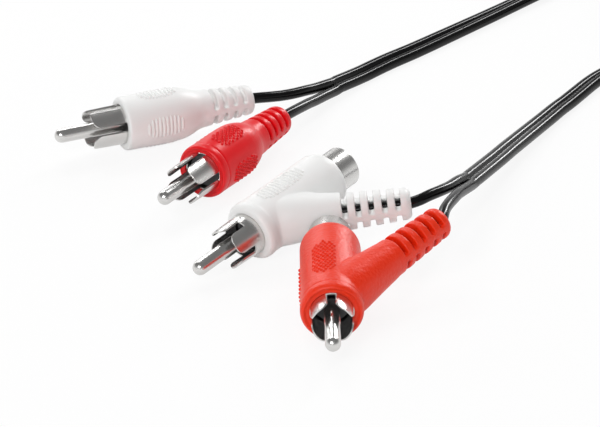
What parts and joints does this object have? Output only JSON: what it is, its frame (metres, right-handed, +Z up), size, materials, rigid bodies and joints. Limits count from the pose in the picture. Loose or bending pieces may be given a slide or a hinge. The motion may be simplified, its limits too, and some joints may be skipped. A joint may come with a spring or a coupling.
{
  "type": "rca audio cable",
  "caption": "Stereo audio lead: plain phono plugs at one end, stackable phono plugs with rear jacks at the other, joined by black twin cable with its spare length coiled.",
  "frame": {"origin": "on the resting surface, under the middle of the box around the plugs", "axes": "+Z up from the surface that the cable lies on; +Y away from the viewer, along the longer side of the spread of plugs; +X to the viewer's right"},
  "size_m": [0.1903, 0.2136, 0.0151],
  "materials": {
    "white_pvc": "satin moulded white PVC",
    "red_pvc": "satin moulded red PVC",
    "orange_red_pvc": "satin moulded orange-red PVC with a fine grain",
    "black_pvc": "smooth black PVC jacket, satin",
    "nickel": "bright nickel plating",
    "dark_insulator": "dark moulded insulator",
    "white_insulator": "white moulded insulator",
    "red_insulator": "red moulded insulator",
    "copper": "bare copper wire",
    "tie_black": "black coated strap"
  },
  "bodies": {
    "root": {"white_plug_shell": "white_pvc", "white_plug_sleeve": "nickel", "white_plug_pin": "nickel", "white_plug_insulator": "dark_insulator", "white_plug_core": "copper", "white_plug_drain": "copper", "red_plug_shell": "red_pvc", "red_plug_sleeve": "nickel", "red_plug_pin": "nickel", "red_plug_insulator": "dark_insulator", "red_plug_core": "copper", "red_plug_drain": "copper", "white_piggyback_body": "white_pvc", "white_piggyback_sleeve": "nickel", "white_piggyback_pin": "nickel", "white_piggyback_insulator": "dark_insulator", "white_piggyback_jack_shell": "nickel", "white_piggyback_jack_insulator": "white_insulator", "white_piggyback_jack_contact": "nickel", "white_piggyback_core_link": "copper", "white_piggyback_shield_link": "copper", "white_piggyback_lead_core": "copper", "red_piggyback_body": "orange_red_pvc", "red_piggyback_sleeve": "nickel", "red_piggyback_pin": "nickel", "red_piggyback_insulator": "dark_insulator", "red_piggyback_jack_shell": "nickel", "red_piggyback_jack_insulator": "red_insulator", "red_piggyback_jack_contact": "nickel", "red_piggyback_core_link": "copper", "red_piggyback_shield_link": "copper", "red_piggyback_lead_core": "copper", "white_plug_lead": "black_pvc", "red_plug_lead": "black_pvc", "white_piggyback_lead": "black_pvc", "red_piggyback_lead": "black_pvc", "upper_twin": "black_pvc", "lower_twin": "black_pvc", "coil": "black_pvc", "coil_tie": "tie_black"}
  },
  "joints": []
}
